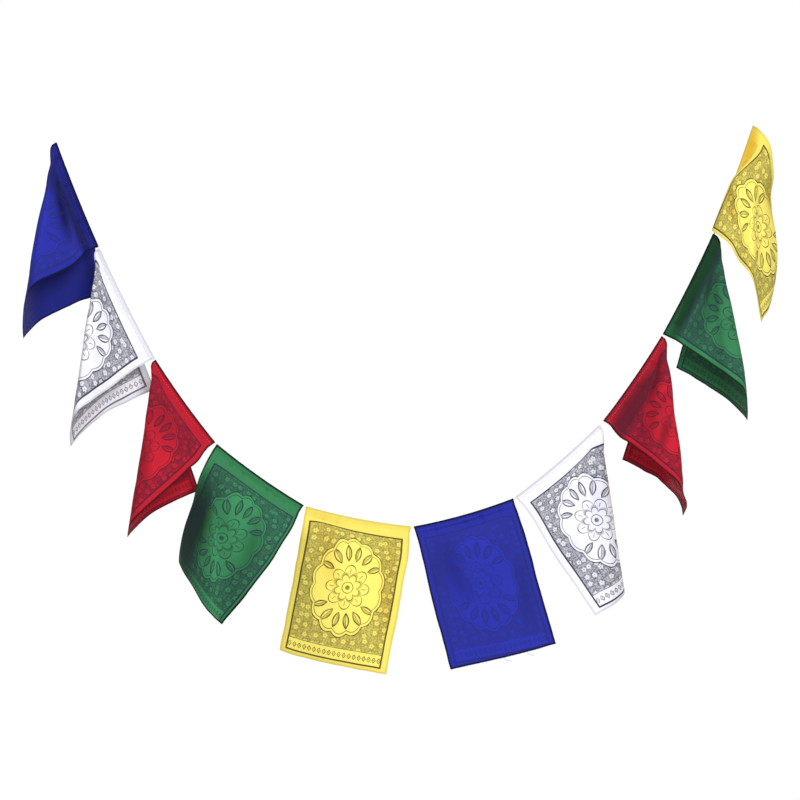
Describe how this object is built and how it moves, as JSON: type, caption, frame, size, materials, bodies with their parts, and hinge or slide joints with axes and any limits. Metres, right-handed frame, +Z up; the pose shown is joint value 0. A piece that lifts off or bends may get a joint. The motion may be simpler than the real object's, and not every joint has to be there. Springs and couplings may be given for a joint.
{
  "type": "string of prayer flags on a cord, hung by its two ends",
  "caption": "Rectangular cotton prayer flags in blue, white, red, green and yellow, hemmed over one white cord that hangs in a curve from its two ends.",
  "frame": {"origin": "the left end of the cord, where it is tied up", "axes": "+X to the right along the string, +Y away from the viewer, +Z up"},
  "size_m": [1.2114, 0.1856, 0.8792],
  "materials": {
    "cord_yarn": "twisted white cotton yarn, matt",
    "blue_cloth": "thin plain-woven cloth dyed deep blue, printed in dark ink",
    "white_cloth": "thin plain-woven white cloth, printed in dark ink",
    "red_cloth": "thin plain-woven cloth dyed red, printed in dark ink",
    "green_cloth": "thin plain-woven cloth dyed green, printed in dark ink",
    "yellow_cloth": "thin plain-woven cloth dyed yellow, printed in dark ink"
  },
  "bodies": {
    "root": {"cord": "cord_yarn", "flag_01_blue": "blue_cloth", "flag_02_white": "white_cloth", "flag_03_red": "red_cloth", "flag_04_green": "green_cloth", "flag_05_yellow": "yellow_cloth", "flag_06_blue": "blue_cloth", "flag_07_white": "white_cloth", "flag_08_red": "red_cloth", "flag_09_green": "green_cloth", "flag_10_yellow": "yellow_cloth"}
  },
  "joints": []
}
